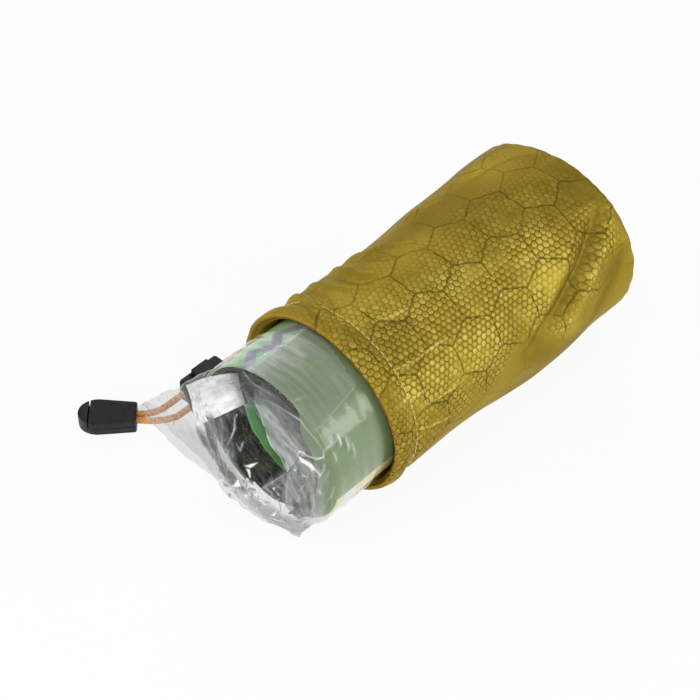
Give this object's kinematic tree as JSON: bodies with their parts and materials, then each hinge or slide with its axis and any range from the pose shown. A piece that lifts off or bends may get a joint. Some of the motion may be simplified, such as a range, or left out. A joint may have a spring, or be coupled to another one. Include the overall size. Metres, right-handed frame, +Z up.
{
  "type": "emergency sleeping bag in a stuff sack",
  "caption": "Rolled film sleeping bag with a printed card in a clear bag, sliding out of a drawcord stuff sack with a cord lock and cord end.",
  "frame": {"origin": "middle of the flat strip of the sack's belly, under the middle of the sack's length, on the surface it lies on (mount rest_face)", "axes": "+Y along the sack's axis from its mouth to its base, +Z up from the surface it lies on, +X to the right seen from in front of the mouth"},
  "size_m": [0.1331, 0.1886, 0.0788],
  "materials": {
    "ripstop_cloth": "golden olive ripstop nylon with a honeycomb weave and a metallic sheen",
    "binding_tape": "dark woven binding tape",
    "gold_thread": "light gold polyester thread",
    "orange_cord": "braided orange cord with dark red flecks",
    "black_plastic": "moulded black plastic, satin",
    "spring_steel": "drawn spring wire",
    "green_film": "thin dark green film with a silvered inner face, crumpled",
    "printed_card": "printed card, sage green, semi-gloss",
    "clear_film": "thin clear film, glossy, crumpled",
    "whitish_strip": "whitish translucent strip"
  },
  "bodies": {
    "sack": {"sack_wall": "ripstop_cloth", "sack_base": "ripstop_cloth", "base_seam_binding": "binding_tape", "side_seam": "ripstop_cloth", "hem_thread": "gold_thread", "drawcord_loop": "orange_cord", "drawcord_tail_outer": "orange_cord", "drawcord_tail_inner": "orange_cord", "cord_end_base": "black_plastic"},
    "inner_pack": {"sleeping_bag_roll": "green_film", "printed_card": "printed_card", "clear_bag": "clear_film", "bag_seal_strip": "whitish_strip"},
    "cord_lock": {"cord_lock_body": "black_plastic", "cord_lock_spring": "spring_steel"},
    "lock_button": {"cord_lock_button": "black_plastic"},
    "cord_end_cover": {"cord_end_lid": "black_plastic"}
  },
  "joints": [
    {"name": "pack_slide", "type": "slide", "parent": "sack", "child": "inner_pack", "axis": [0, -1, 0], "range_m": [0, 0.115]},
    {"name": "lock_slide", "type": "slide", "parent": "sack", "child": "cord_lock", "axis": [0, -1, 0], "range_m": [0, 0.008]},
    {"name": "button_press", "type": "slide", "parent": "cord_lock", "child": "lock_button", "axis": [0, 0, -1], "range_m": [0, 0.0022], "stiffness_N_per_m": 400, "springref_m": -0.002, "deforming": ["cord_lock_spring"]},
    {"name": "lid_hinge", "type": "hinge", "parent": "sack", "child": "cord_end_cover", "pos_m": [-0.08619, -0.11405, 0.007], "axis": [0.6794, -0.7337, 0], "range_deg": [0, 100]}
  ]
}
